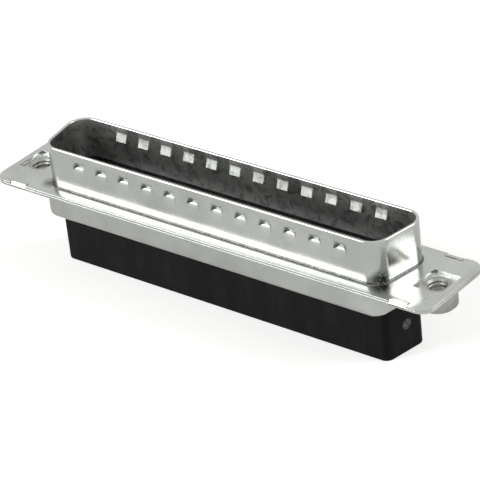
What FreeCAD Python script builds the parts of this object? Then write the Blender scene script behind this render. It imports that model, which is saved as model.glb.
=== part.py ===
import FreeCAD, Part
import math
import os
import Sketcher
from FreeCAD import Vector

# A 37-way D-shaped plug housing for crimp contacts, without its contacts. All lengths are millimetres.
# X runs along the connector, +Y points to the long side of the D (the row of nineteen), and +Z points
# out of the mating face. The origin is the centre of the flange's front face.

doc = FreeCAD.newDocument("plug_housing")
sheet = doc.addObject("Spreadsheet::Sheet", "Sizes")

sizes = [
    ("shroud_length", 55.42, "inside the shroud, along the long side"),
    ("shroud_width", 8.36, "inside the shroud"),
    ("shroud_height", 5.9, "rim above the flange's front face"),
    ("shroud_corner", 2.6, "inside radius of the shroud's corners"),
    ("shroud_root", 0.15, "bend where the shroud leaves the flange"),
    ("end_slope", 10, "degrees that each end wall leans in towards the short side"),
    ("cup_ends", 0.94, "shroud's inside to the cup's outside, at each end"),
    ("cup_sides", 1.22, "shroud's inside to the cup's outside, on each long wall"),
    ("insert_offset", 3.1, "cup's end to the middle of each threaded insert"),
    ("ear_end", 2.91, "middle of each insert to the flange's end"),
    ("flange_border", 0.875, "cup to the flange's long edges"),
    ("flange_corner", 0.9, "radius of the flange corners"),
    ("front_sheet", 0.4, "sheet of the front shell"),
    ("rear_sheet", 0.35, "sheet of the rear shell"),
    ("rim_round", 0.12, "bevel of the rim, on both edges"),
    ("dimple_pitch", 3.784, "between the grounding dimples of one wall"),
    ("dimple_edge", 4.5, "end of the short wall to its first dimple, at least"),
    ("dimple_width", 1.75, "each dimple, along the wall"),
    ("dimple_level", 3.9, "crisp ledge under each dimple, above the flange"),
    ("dimple_rise", 1.25, "ledge to where the dimple's ramp has run out above it"),
    ("dimple_fall", 1.3, "ledge to where the drawn-in metal below has run out"),
    ("dimple_depth", 0.32, "ramp's depth at the ledge, from outside"),
    ("dimple_stand", 0.45, "how far the dimple stands out at the ledge, inside"),
    ("dimple_skin", 0.15, "metal left beside the ramp"),
    ("dimple_bevel", 0.22, "bevel of the punch's upright corners"),
    ("dimple_draw", 0.2, "depth of the metal just below the ledge"),
    ("window_length", 3.9, "window round each insert, along X"),
    ("window_width", 4.5, "window round each insert, along Y"),
    ("window_corner", 0.25, "radius of the window's corners"),
    ("tab_inset", 1.4, "middle of each insert to the middle of its tabs"),
    ("tab_length", 2.5, "folded tab, along X"),
    ("tab_leg", 0.3, "thickness of the tab's upright leg"),
    ("tab_flap", 0.22, "thickness of the tab where it lies on the front flange"),
    ("tab_reach", 0.95, "how far the flap reaches in from the flange's edge"),
    ("tab_bend", 0.2, "outside radius of the fold"),
    ("tab_gap", 0.12, "play round each tab in its notch"),
    ("cup_depth", 3.56, "cup's floor, outside, below the rear flange's front face"),
    ("cup_corner", 2.0, "outside radius of the cup's upright corners"),
    ("cup_floor_round", 0.8, "outside radius round the cup's floor"),
    ("cup_root", 0.2, "bend where the cup leaves the flange"),
    ("block_ends", 1.45, "cup's end to the insulating block's end"),
    ("block_sides", 2.08, "cup's long wall to the insulating block's long wall"),
    ("block_drop", 7.52, "how far the block stands out of the cup's floor"),
    ("block_corner", 1.1, "radius of the block's upright corners"),
    ("moulding_fit", 0.1, "play between the mouldings and the shells"),
    ("front_plate", 1.6, "thickness of the front insulator's plate"),
    ("cavity_pitch", 2.77, "between cavities of one row"),
    ("cavity_edge", 2.0, "end of the shroud to the middle of its first cavity, at least"),
    ("row_spacing", 2.84, "between the two rows"),
    ("cavity_front", 1.7, "opening through the front insulator"),
    ("cavity_rear", 2.2, "opening through the rear insulator"),
    ("insert_barrel", 4.9, "diameter of the insert behind the flange"),
    ("insert_length", 2.55, "insert's barrel behind the rear flange"),
    ("insert_spigot", 3.6, "diameter of the insert where it passes the rear flange"),
    ("insert_round", 0.35, "chamfer round the insert's rear end"),
    ("thread_bore", 2.25, "bore of the small thread"),
    ("thread_mouth", 2.95, "countersink at both ends of the thread"),
]
for row, (alias, value, note) in enumerate(sizes, start=1):
    sheet.set("A%d" % row, alias)
    sheet.set("B%d" % row, str(value))
    sheet.set("C%d" % row, note)
    sheet.setAlias("B%d" % row, alias)
doc.recompute()


def size(alias):
    return float(getattr(sheet, alias))


def new_body(label):
    body = doc.addObject("PartDesign::Body", label)
    body.Label = label
    return body


def origin_feature(body, role):
    for feature in body.Origin.OriginFeatures:
        if feature.Role == role:
            return feature


# A sketch on one of the body's own planes, shifted by three expressions in that plane's axes.
def new_sketch(body, name, role, shift=("0", "0", "0")):
    sketch = body.newObject("Sketcher::SketchObject", name)
    sketch.AttachmentSupport = [(origin_feature(body, role), "")]
    sketch.MapMode = "FlatFace"
    for axis, expression in zip("xyz", shift):
        sketch.setExpression("AttachmentOffset.Base." + axis, expression)
    return sketch


# One coordinate of a corner: on the axis if it is nought, else a driven distance from the origin.
def bind_corner(sketch, line, kind, guess, expression):
    if expression == "0":
        axis = -2 if kind == "DistanceX" else -1
        sketch.addConstraint(Sketcher.Constraint("PointOnObject", line, 1, axis))
        return
    index = sketch.addConstraint(Sketcher.Constraint(kind, -1, 1, line, 1, guess))
    sketch.setExpression("Constraints[%d]" % index, expression)


# A closed outline whose corners are pairs of expressions.
def draw_outline(sketch, corners):
    first = sketch.GeometryCount
    count = len(corners)
    turns = [2 * math.pi * (k + 0.3) / count for k in range(count)]
    guesses = [Vector(8 * math.cos(turn), 8 * math.sin(turn), 0) for turn in turns]
    for k in range(count):
        sketch.addGeometry(Part.LineSegment(guesses[k], guesses[(k + 1) % count]), False)
    for k in range(count):
        joint = Sketcher.Constraint("Coincident", first + k, 2, first + (k + 1) % count, 1)
        sketch.addConstraint(joint)
    for k, (across, up) in enumerate(corners):
        bind_corner(sketch, first + k, "DistanceX", guesses[k].x, across)
        bind_corner(sketch, first + k, "DistanceY", guesses[k].y, up)


def rectangle(left, right, low, high):
    return [(left, low), (right, low), (right, high), (left, high)]


# The D outline: a trapezoid whose long side is at +Y, grown or shrunk evenly by an offset.
def trapezoid(length, width, grow="0"):
    far_x = "(%s / 2 + (%s) * (1 / cos(Sizes.end_slope) + tan(Sizes.end_slope)))" % (length, grow)
    near_x = "(%s / 2 - %s * tan(Sizes.end_slope) + (%s) * (1 / cos(Sizes.end_slope) - tan(Sizes.end_slope)))"
    near_x = near_x % (length, width, grow)
    high = "(%s / 2 + (%s))" % (width, grow)
    return [("-" + near_x, "-" + high), (near_x, "-" + high), (far_x, high), ("-" + far_x, high)]


def extrude(body, kind, name, sketch, length, backwards=False):
    feature = body.newObject("PartDesign::" + kind, name)
    feature.Profile = sketch
    feature.Reversed = backwards
    feature.setExpression("Length", length)
    doc.recompute()
    return feature


def revolve(body, kind, name, sketch, angle="360"):
    feature = body.newObject("PartDesign::" + kind, name)
    feature.Profile = sketch
    feature.ReferenceAxis = (sketch, ["V_Axis"])
    feature.setExpression("Angle", angle)
    doc.recompute()
    return feature


def row_along_x(body, name, original, count, pitch):
    pattern = body.newObject("PartDesign::LinearPattern", name)
    pattern.Originals = [original]
    pattern.Direction = (origin_feature(body, "X_Axis"), [""])
    pattern.setExpression("Length", "(%s - 1) * %s" % (count, pitch))
    pattern.setExpression("Occurrences", count)
    body.Tip = pattern
    doc.recompute()
    return pattern


def mirror_ends(body, name, original):
    mirrored = body.newObject("PartDesign::Mirrored", name)
    mirrored.Originals = [original]
    mirrored.MirrorPlane = (origin_feature(body, "YZ_Plane"), [""])
    body.Tip = mirrored
    doc.recompute()
    return mirrored


# Rounds every edge of the body's last feature that passes the test.
def round_edges(body, name, test, radius, kind="Fillet"):
    base = body.Tip
    names = ["Edge%d" % (k + 1) for k, edge in enumerate(base.Shape.Edges) if test(edge)]
    feature = body.newObject("PartDesign::" + kind, name)
    feature.Base = (base, names)
    feature.setExpression("Radius" if kind == "Fillet" else "Size", radius)
    doc.recompute()
    return feature


def upright(edge):
    ends = edge.Vertexes
    if len(ends) != 2:
        return False
    run = ends[1].Point - ends[0].Point
    return abs(run.x) < 1e-6 and abs(run.y) < 1e-6


# Half length and half width of the D at its outermost corner, as numbers for picking edges.
def reach(length, width, grow):
    slope = math.radians(size("end_slope"))
    far_x = length / 2 + grow * (1 / math.cos(slope) + math.tan(slope))
    return far_x, width / 2 + grow


def corner_of(length, width, grow):
    slope = math.radians(size("end_slope"))
    far_x, high = reach(length, width, grow)
    near_x = far_x - 2 * high * math.tan(slope)

    def test(edge):
        if not upright(edge):
            return False
        spot = edge.Vertexes[0].Point
        expected = far_x if spot.y > 0 else near_x
        return abs(abs(spot.x) - expected) < 1e-3 and abs(abs(spot.y) - high) < 1e-3

    return test


# Edges that lie flat at one height, on or inside the D of the given reach.
def loop_at(height, length, width, grow):
    far_x, high = reach(length, width, grow)

    def test(edge):
        box = edge.BoundBox
        if abs(box.ZMin - height) > 1e-4 or abs(box.ZMax - height) > 1e-4:
            return False
        out_x = max(abs(box.XMin), abs(box.XMax))
        out_y = max(abs(box.YMin), abs(box.YMax))
        return out_x < far_x + 1e-3 and out_y < high + 1e-3

    return test


# Everything grows from the shroud, as it does from one shell size of the family to the next.
cup_length = "(Sizes.shroud_length + 2 * Sizes.cup_ends)"
cup_width = "(Sizes.shroud_width + 2 * Sizes.cup_sides)"
block_length = "(" + cup_length + " - 2 * Sizes.block_ends)"
block_width = "(" + cup_width + " - 2 * Sizes.block_sides)"
insert_x = "(" + cup_length + " / 2 + Sizes.insert_offset)"
tab_x = "(" + insert_x + " - Sizes.tab_inset)"
flange_x = "(" + insert_x + " + Sizes.ear_end)"
flange_y = "(" + cup_width + " / 2 + Sizes.flange_border)"

shroud_outline = ("Sizes.shroud_length", "Sizes.shroud_width")
cup_outline = (cup_length, cup_width)
block_outline = (block_length, block_width)

# The same as numbers, for picking edges and for a sketch's first guess.
shroud_size = (size("shroud_length"), size("shroud_width"))
cup_size = (shroud_size[0] + 2 * size("cup_ends"), shroud_size[1] + 2 * size("cup_sides"))
block_size = (cup_size[0] - 2 * size("block_ends"), cup_size[1] - 2 * size("block_sides"))
insert_at = cup_size[0] / 2 + size("insert_offset")
flange_edge = cup_size[1] / 2 + size("flange_border")


def flange_plate(body, top, thickness):
    sketch = new_sketch(body, "FlangeOutline", "XY_Plane", ("0", "0", top))
    draw_outline(sketch, rectangle("-" + flange_x, flange_x, "-" + flange_y, flange_y))
    extrude(body, "Pad", "Flange", sketch, thickness, backwards=True)
    round_edges(body, "FlangeCorners", upright, "Sizes.flange_corner")


# Front shell: a flange and the drawn D-shaped shroud, one sheet.
front_shell = new_body("front_shell")
flange_plate(front_shell, "0", "Sizes.front_sheet")

sketch = new_sketch(front_shell, "ShroudOutside", "XY_Plane")
draw_outline(sketch, trapezoid(*shroud_outline, grow="Sizes.front_sheet"))
extrude(front_shell, "Pad", "Shroud", sketch, "Sizes.shroud_height")

sketch = new_sketch(front_shell, "ShroudInside", "XY_Plane", ("0", "0", "Sizes.shroud_height"))
draw_outline(sketch, trapezoid(*shroud_outline))
extrude(front_shell, "Pocket", "Hollow", sketch, "Sizes.shroud_height + Sizes.front_sheet")
round_edges(front_shell, "HollowCorners", corner_of(*shroud_size, 0), "Sizes.shroud_corner")
outer_corner = corner_of(*shroud_size, size("front_sheet"))
round_edges(front_shell, "ShroudCorners", outer_corner, "Sizes.shroud_corner + Sizes.front_sheet")

# The sheet bends out of the flange, and its rim is bevelled on both edges.
root = loop_at(0, *shroud_size, size("front_sheet"))
round_edges(front_shell, "Root", root, "Sizes.shroud_root", "Chamfer")
bend = loop_at(-size("front_sheet"), *shroud_size, 0)
round_edges(front_shell, "RootInside", bend, "Sizes.front_sheet", "Chamfer")
rim = loop_at(size("shroud_height"), *shroud_size, size("front_sheet"))
round_edges(front_shell, "Rim", rim, "Sizes.rim_round", "Chamfer")

# Grounding dimples. A slanted punch presses each one in from outside: a ramp deepens down to a crisp ledge,
# and the metal under the ledge is drawn in a little. Inside, the metal stands out as a wedge.
wall_face = "(Sizes.shroud_width / 2 + Sizes.front_sheet)"
short_wall = "(Sizes.shroud_length - 2 * Sizes.shroud_width * tan(Sizes.end_slope))"
dimple_count = "(floor((" + short_wall + " - 2 * Sizes.dimple_edge) / Sizes.dimple_pitch) + 1)"
first_x = "-(" + dimple_count + " - 1) * Sizes.dimple_pitch / 2"
bump_half = "(Sizes.dimple_width / 2 + Sizes.dimple_skin)"
punch_half = "(Sizes.dimple_width / 2)"


# The punch's section, bevelled on its two inner corners. Depths count from the wall's outer face, inwards.
def punch_section(half, start, end, toward, bevel="Sizes.dimple_bevel"):
    start = toward + "(" + start + ")"
    shoulder = toward + "(" + end + " - " + bevel + ")"
    end = toward + "(" + end + ")"
    flat = "(" + half + " - " + bevel + ")"
    return [
        ("-" + half, start),
        (half, start),
        (half, shoulder),
        (flat, end),
        ("-" + flat, end),
        ("-" + half, shoulder),
    ]


# Pushes a section away from the ledge, so that it has left the wall by the given depth at the run's end.
def push_slanted(body, name, section, place, run, depth, outward):
    sketch = new_sketch(body, name + "Section", "XY_Plane", place)
    draw_outline(sketch, section)
    feature = body.newObject("PartDesign::Pocket", name)
    feature.Profile = sketch
    feature.UseCustomVector = True
    upward = -1 if run == "Sizes.dimple_fall" else 1
    feature.Direction = Vector(0, outward, upward)
    feature.setExpression("Direction.y", "%d * %s" % (outward, depth))
    feature.setExpression("Direction.z", "%d * %s" % (upward, run))
    feature.AlongSketchNormal = True
    feature.setExpression("Length", "1.1 * " + run)
    doc.recompute()
    row_along_x(body, name + "s", feature, dimple_count, "Sizes.dimple_pitch")


# The wedge inside, whose back is sunk in the wall.
def add_bumps(body, name, outward):
    level, top = "Sizes.dimple_level", "(Sizes.dimple_level + Sizes.dimple_rise)"
    sign = "-" if outward < 0 else ""
    back = sign + "(" + wall_face + " - Sizes.front_sheet / 2)"
    face = sign + "(Sizes.shroud_width / 2)"
    lip = sign + "(Sizes.shroud_width / 2 - Sizes.dimple_stand)"
    sketch = new_sketch(body, name + "Profile", "YZ_Plane", ("0", "0", first_x + " - " + bump_half))
    draw_outline(sketch, [(back, level), (lip, level), (face, top), (back, top)])
    bump = extrude(body, "Pad", name, sketch, "2 * " + bump_half)
    row_along_x(body, name + "s", bump, dimple_count, "Sizes.dimple_pitch")


for side, outward in (("Near", -1), ("Far", 1)):
    toward = "" if outward < 0 else "-"
    wall_y = ("-" if outward < 0 else "") + wall_face
    ledge = (first_x, wall_y, "Sizes.dimple_level")
    ramp = punch_section(punch_half, "-2 * Sizes.dimple_depth", "Sizes.dimple_depth", toward)
    drawn = "Sizes.dimple_draw"
    draw = punch_section(punch_half, "-2 * " + drawn, drawn, toward, drawn)
    rise, fall = "Sizes.dimple_rise", "Sizes.dimple_fall"
    add_bumps(front_shell, side + "Bump", outward)
    push_slanted(front_shell, side + "Ramp", ramp, ledge, rise, "Sizes.dimple_depth", outward)
    push_slanted(front_shell, side + "Draw", draw, ledge, fall, "Sizes.dimple_draw", outward)

# A window in each ear shows the rear flange and the insert that is held in it.
sketch = new_sketch(front_shell, "WindowOutline", "XY_Plane")
draw_outline(sketch, rectangle(
    insert_x + " - Sizes.window_length / 2",
    insert_x + " + Sizes.window_length / 2",
    "-Sizes.window_width / 2",
    "Sizes.window_width / 2",
))
window = extrude(front_shell, "Pocket", "Window", sketch, "Sizes.front_sheet")
mirror_ends(front_shell, "Windows", window)


def window_corner(edge):
    if not upright(edge) or abs(edge.Length - size("front_sheet")) > 1e-3:
        return False
    spot = edge.Vertexes[0].Point
    off_x = abs(abs(spot.x) - insert_at)
    on_side = abs(off_x - size("window_length") / 2) < 1e-3
    return on_side and abs(abs(spot.y) - size("window_width") / 2) < 1e-3


round_edges(front_shell, "WindowCorners", window_corner, "Sizes.window_corner")

# Notches in the flange's long edges take the rear shell's four tabs: a deep cut for each upright leg and
# a coined step for the flap that folds over it.
tab_left = "(" + tab_x + " - Sizes.tab_length / 2 - Sizes.tab_gap)"
tab_right = "(" + tab_x + " + Sizes.tab_length / 2 + Sizes.tab_gap)"
notch_floor = "(" + flange_y + " - Sizes.tab_leg)"
step_floor = "(" + flange_y + " - Sizes.tab_reach - Sizes.tab_gap)"
beyond = "(" + flange_y + " + Sizes.tab_gap)"
cuts = (("Notch", notch_floor, "Sizes.front_sheet"), ("Step", step_floor, "Sizes.tab_flap"))
for name, floor, depth in cuts:
    sketch = new_sketch(front_shell, name + "Outline", "XY_Plane")
    draw_outline(sketch, rectangle(tab_left, tab_right, floor, beyond))
    draw_outline(sketch, rectangle(tab_left, tab_right, "-" + beyond, "-" + floor))
    cut = extrude(front_shell, "Pocket", name, sketch, depth)
    mirror_ends(front_shell, name + "es" if name == "Notch" else name + "s", cut)

# Rear shell: the second flange and a shallow drawn cup that holds the mouldings, one sheet.
rear_shell = new_body("rear_shell")
flange_plate(rear_shell, "-Sizes.front_sheet", "Sizes.rear_sheet")

sketch = new_sketch(rear_shell, "CupOutside", "XY_Plane", ("0", "0", "-Sizes.front_sheet"))
draw_outline(sketch, trapezoid(*cup_outline))
extrude(rear_shell, "Pad", "Cup", sketch, "Sizes.cup_depth", backwards=True)

sketch = new_sketch(rear_shell, "CupInside", "XY_Plane", ("0", "0", "-Sizes.front_sheet"))
draw_outline(sketch, trapezoid(*cup_outline, grow="-Sizes.rear_sheet"))
extrude(rear_shell, "Pocket", "CupHollow", sketch, "Sizes.cup_depth - Sizes.rear_sheet")
inside_corner = corner_of(*cup_size, -size("rear_sheet"))
round_edges(rear_shell, "CupHollowCorners", inside_corner, "Sizes.cup_corner - Sizes.rear_sheet")
round_edges(rear_shell, "CupCorners", corner_of(*cup_size, 0), "Sizes.cup_corner")
floor_level = -size("front_sheet") - size("cup_depth")
round_edges(rear_shell, "CupFloor", loop_at(floor_level, *cup_size, 0), "Sizes.cup_floor_round")
under = loop_at(-size("front_sheet") - size("rear_sheet"), *cup_size, 0)
round_edges(rear_shell, "CupRoot", under, "Sizes.cup_root", "Chamfer")
inside_floor = loop_at(floor_level + size("rear_sheet"), *cup_size, -size("rear_sheet"))
floor_bend = "Sizes.cup_floor_round - Sizes.rear_sheet"
round_edges(rear_shell, "CupHollowFloor", inside_floor, floor_bend, "Chamfer")
mouth = loop_at(-size("front_sheet"), *cup_size, -size("rear_sheet"))
round_edges(rear_shell, "CupMouth", mouth, "Sizes.rear_sheet", "Chamfer")

# The floor is open for the insulating block, with a little play round it.
sketch = new_sketch(rear_shell, "FloorOpening", "XY_Plane", ("0", "0", "-Sizes.front_sheet"))
draw_outline(sketch, trapezoid(*block_outline, grow="Sizes.moulding_fit"))
extrude(rear_shell, "Pocket", "Opening", sketch, "Sizes.cup_depth")
opening_corner = corner_of(*block_size, size("moulding_fit"))
round_edges(rear_shell, "OpeningCorners", opening_corner, "Sizes.block_corner + Sizes.moulding_fit")

# Each ear has a round hole that the insert's spigot fills.
sketch = new_sketch(rear_shell, "SpigotHole", "XY_Plane", ("0", "0", "-Sizes.front_sheet"))
first_circle = Part.Circle(Vector(insert_at, 0, 0), Vector(0, 0, 1), size("insert_spigot") / 2)
circle = sketch.addGeometry(first_circle, False)
sketch.addConstraint(Sketcher.Constraint("PointOnObject", circle, 3, -1))
index = sketch.addConstraint(Sketcher.Constraint("DistanceX", -1, 1, circle, 3, insert_at))
sketch.setExpression("Constraints[%d]" % index, insert_x)
index = sketch.addConstraint(Sketcher.Constraint("Diameter", circle, size("insert_spigot")))
sketch.setExpression("Constraints[%d]" % index, "Sizes.insert_spigot")
hole = extrude(rear_shell, "Pocket", "Hole", sketch, "Sizes.rear_sheet")
mirror_ends(rear_shell, "Holes", hole)

# Four tabs stand up from the flange's long edges and fold over the front flange.
bottom_z = "-(Sizes.front_sheet + Sizes.rear_sheet)"
for side, sign in (("Near", "-"), ("Far", "")):
    start = tab_x + " - Sizes.tab_length / 2"
    sketch = new_sketch(rear_shell, side + "TabProfile", "YZ_Plane", ("0", "0", start))
    draw_outline(sketch, [
        (sign + flange_y, bottom_z),
        (sign + flange_y, "0"),
        (sign + "(" + flange_y + " - Sizes.tab_reach)", "0"),
        (sign + "(" + flange_y + " - Sizes.tab_reach)", "-Sizes.tab_flap"),
        (sign + "(" + flange_y + " - Sizes.tab_leg)", "-Sizes.tab_flap"),
        (sign + "(" + flange_y + " - Sizes.tab_leg)", bottom_z),
    ])
    tab = extrude(rear_shell, "Pad", side + "Tab", sketch, "Sizes.tab_length")
    mirror_ends(rear_shell, side + "Tabs", tab)


def fold(edge):
    box = edge.BoundBox
    on_top = abs(box.ZMin) < 1e-4 and abs(box.ZMax) < 1e-4
    on_edge = abs(max(abs(box.YMin), abs(box.YMax)) - flange_edge) < 1e-3
    return on_top and on_edge and box.YMax - box.YMin < 1e-3


round_edges(rear_shell, "TabFolds", fold, "Sizes.tab_bend")


# Cavities stand in two rows, one more on the long side than on the short side. Each is a straight hole of
# ten flats.
long_count = "(floor((Sizes.shroud_length - 2 * Sizes.cavity_edge) / Sizes.cavity_pitch) + 1)"
cavity_flats = 10


def drill_cavities(body, top, depth, across):
    rows = (
        ("Long", long_count, "Sizes.row_spacing / 2"),
        ("Short", "(" + long_count + " - 1)", "-Sizes.row_spacing / 2"),
    )
    step = 360 / cavity_flats
    corner = "%s / (2 * cos(%g))" % (across, step / 2)
    turns = [(k + 0.5) * step for k in range(cavity_flats)]
    corners = [("%s * cos(%g)" % (corner, turn), "%s * sin(%g)" % (corner, turn)) for turn in turns]
    for name, count, level in rows:
        start = "-(" + count + " - 1) * Sizes.cavity_pitch / 2"
        sketch = new_sketch(body, name + "CavityOutline", "XY_Plane", (start, level, top))
        draw_outline(sketch, corners)
        cavity = extrude(body, "Pocket", name + "Cavity", sketch, depth)
        row_along_x(body, name + "Cavities", cavity, count, "Sizes.cavity_pitch")


# Front insulator: a low boss that fills the foot of the shroud, on a plate inside the cup.
front_insulator = new_body("front_insulator")
cup_play = "-(Sizes.rear_sheet + Sizes.moulding_fit)"
cup_shrink = -size("rear_sheet") - size("moulding_fit")
plate_back = "-(Sizes.front_sheet + Sizes.front_plate)"
plate_corner = "Sizes.cup_corner - Sizes.rear_sheet - Sizes.moulding_fit"

sketch = new_sketch(front_insulator, "BossOutline", "XY_Plane")
draw_outline(sketch, trapezoid(*shroud_outline, grow="-Sizes.moulding_fit"))
boss_depth = "Sizes.front_sheet + Sizes.front_plate / 2"
extrude(front_insulator, "Pad", "Boss", sketch, boss_depth, backwards=True)
boss_corner = corner_of(*shroud_size, -size("moulding_fit"))
round_edges(front_insulator, "BossCorners", boss_corner, "Sizes.shroud_corner - Sizes.moulding_fit")

sketch = new_sketch(front_insulator, "PlateOutline", "XY_Plane", ("0", "0", "-Sizes.front_sheet"))
draw_outline(sketch, trapezoid(*cup_outline, grow=cup_play))
extrude(front_insulator, "Pad", "Plate", sketch, "Sizes.front_plate", backwards=True)
round_edges(front_insulator, "PlateCorners", corner_of(*cup_size, cup_shrink), plate_corner)
drill_cavities(front_insulator, "0", "Sizes.front_sheet + Sizes.front_plate", "Sizes.cavity_front")

# Rear insulator: a plate on the cup's floor and the long block that comes out of it.
rear_insulator = new_body("rear_insulator")
rear_plate = "(Sizes.cup_depth - Sizes.rear_sheet - Sizes.front_plate)"
block_depth = "(Sizes.cup_depth - Sizes.front_plate + Sizes.block_drop)"

sketch = new_sketch(rear_insulator, "PlateOutline", "XY_Plane", ("0", "0", plate_back))
draw_outline(sketch, trapezoid(*cup_outline, grow=cup_play))
extrude(rear_insulator, "Pad", "Plate", sketch, rear_plate, backwards=True)
round_edges(rear_insulator, "PlateCorners", corner_of(*cup_size, cup_shrink), plate_corner)
plate_foot = loop_at(floor_level + size("rear_sheet"), *cup_size, cup_shrink)
round_edges(rear_insulator, "PlateFoot", plate_foot, floor_bend, "Chamfer")

sketch = new_sketch(rear_insulator, "BlockOutline", "XY_Plane", ("0", "0", plate_back))
draw_outline(sketch, trapezoid(*block_outline))
extrude(rear_insulator, "Pad", "Block", sketch, block_depth, backwards=True)
round_edges(rear_insulator, "BlockCorners", corner_of(*block_size, 0), "Sizes.block_corner")
drill_cavities(rear_insulator, plate_back, block_depth, "Sizes.cavity_rear")

# Threaded inserts: a spigot flush in the rear flange, a barrel behind it and a small thread through both.
insert_front = "-Sizes.front_sheet"
insert_seat = "-(Sizes.front_sheet + Sizes.rear_sheet)"
insert_back = "-(Sizes.front_sheet + Sizes.rear_sheet + Sizes.insert_length)"
mouth_depth = "(Sizes.thread_mouth - Sizes.thread_bore) / 2"
for name, sign in (("threaded_insert_left", "-"), ("threaded_insert_right", "")):
    insert = new_body(name)
    sketch = new_sketch(insert, "InsertProfile", "XZ_Plane")
    draw_outline(sketch, [
        ("Sizes.thread_mouth / 2", insert_front),
        ("Sizes.insert_spigot / 2", insert_front),
        ("Sizes.insert_spigot / 2", insert_seat),
        ("Sizes.insert_barrel / 2", insert_seat),
        ("Sizes.insert_barrel / 2", "(" + insert_back + " + Sizes.insert_round)"),
        ("(Sizes.insert_barrel / 2 - Sizes.insert_round)", insert_back),
        ("Sizes.thread_mouth / 2", insert_back),
        ("Sizes.thread_bore / 2", "(" + insert_back + " + " + mouth_depth + ")"),
        ("Sizes.thread_bore / 2", "(" + insert_front + " - " + mouth_depth + ")"),
    ])
    revolve(insert, "Revolution", "Insert", sketch)
    insert.setExpression("Placement.Base.x", sign + insert_x)

doc.recompute()
pieces = [item for item in doc.Objects if item.TypeId == "PartDesign::Body"]
for item in doc.Objects:
    if "Invalid" in item.State or "Error" in item.State:
        raise RuntimeError("%s: %s" % (item.Label, item.State))
for piece in pieces:
    if piece.Shape.isNull() or not piece.Shape.isValid() or len(piece.Shape.Solids) != 1:
        raise RuntimeError("%s is not one valid solid" % piece.Label)

os.makedirs("parts", exist_ok=True)
for piece in pieces:
    piece.Shape.exportStep("parts/%s.step" % piece.Label)
    box = piece.Shape.BoundBox
    print("%-24s volume %8.2f  z %.2f to %.2f" % (piece.Label, piece.Shape.Volume, box.ZMin, box.ZMax))
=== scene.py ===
import math

import bmesh
import bpy
from mathutils import Matrix, Vector


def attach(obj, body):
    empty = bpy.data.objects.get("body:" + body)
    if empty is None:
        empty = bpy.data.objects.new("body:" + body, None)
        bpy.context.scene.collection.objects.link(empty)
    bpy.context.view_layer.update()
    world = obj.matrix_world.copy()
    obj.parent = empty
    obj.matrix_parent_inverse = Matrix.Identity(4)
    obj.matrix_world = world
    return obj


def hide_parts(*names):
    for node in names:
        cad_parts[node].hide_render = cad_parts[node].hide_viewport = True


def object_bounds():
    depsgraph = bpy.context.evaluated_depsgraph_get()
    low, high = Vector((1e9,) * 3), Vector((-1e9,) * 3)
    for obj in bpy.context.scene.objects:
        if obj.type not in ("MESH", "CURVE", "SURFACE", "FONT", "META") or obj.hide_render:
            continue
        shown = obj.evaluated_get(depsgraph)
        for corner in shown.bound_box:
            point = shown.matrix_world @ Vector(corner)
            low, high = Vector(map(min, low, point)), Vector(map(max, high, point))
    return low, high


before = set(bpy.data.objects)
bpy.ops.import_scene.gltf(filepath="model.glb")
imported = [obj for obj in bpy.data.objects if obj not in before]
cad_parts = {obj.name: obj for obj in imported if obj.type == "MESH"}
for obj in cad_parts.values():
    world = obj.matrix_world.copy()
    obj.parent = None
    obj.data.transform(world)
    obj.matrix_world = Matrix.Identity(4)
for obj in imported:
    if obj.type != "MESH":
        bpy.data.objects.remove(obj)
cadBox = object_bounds()

# Sizes in the dictionaries of the pieces are in millimetres. The origin is the centre of the flange's front
# face, +X runs along the connector, +Y to the long side of the D and +Z out of the mating face.
mm = 0.001
slope = math.radians(10)  # each end wall leans in towards the short side
sharpAngle = math.radians(60)  # edges sharper than this are rounded
creaseAngle = math.radians(40)  # faces at a flatter angle than this are shaded as one surface
sameSpot = 0.0001  # mm, points closer than this are at the same place
spotDigits = 4  # the same, as decimals of a millimetre
mergeGap = 0.0005  # mm, at the seams of a ring


def linearColor(hexColor):
    # sRGB hex to the linear values that Blender works in
    parts = [int(hexColor[k:k + 2], 16) / 255 for k in (1, 3, 5)]
    linear = [c / 12.92 if c <= 0.04045 else ((c + 0.055) / 1.055) ** 2.4 for c in parts]
    return (*linear, 1.0)


def addNode(tree, kind, inputs=None, links=None, stops=(), **settings):
    # one node with its settings, the values and links of its sockets, and the two stops of a colour ramp
    node = tree.nodes.new(kind)
    for name, value in settings.items():
        setattr(node, name, value)
    for name, value in (inputs or {}).items():
        node.inputs[name].default_value = value
    for name, source in (links or {}).items():
        tree.links.new(source, node.inputs[name])
    for index, (position, hexColor) in enumerate(stops):
        node.color_ramp.elements[index].position = position
        node.color_ramp.elements[index].color = linearColor(hexColor)
    return node


def perMm(sizeMm):
    # scale of a noise whose features are about this many millimetres across
    return 1 / (sizeMm * mm)


def newMaterial(name):
    material = bpy.data.materials.new(name)
    material.use_nodes = True
    material.node_tree.nodes.clear()
    return material, material.node_tree


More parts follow.
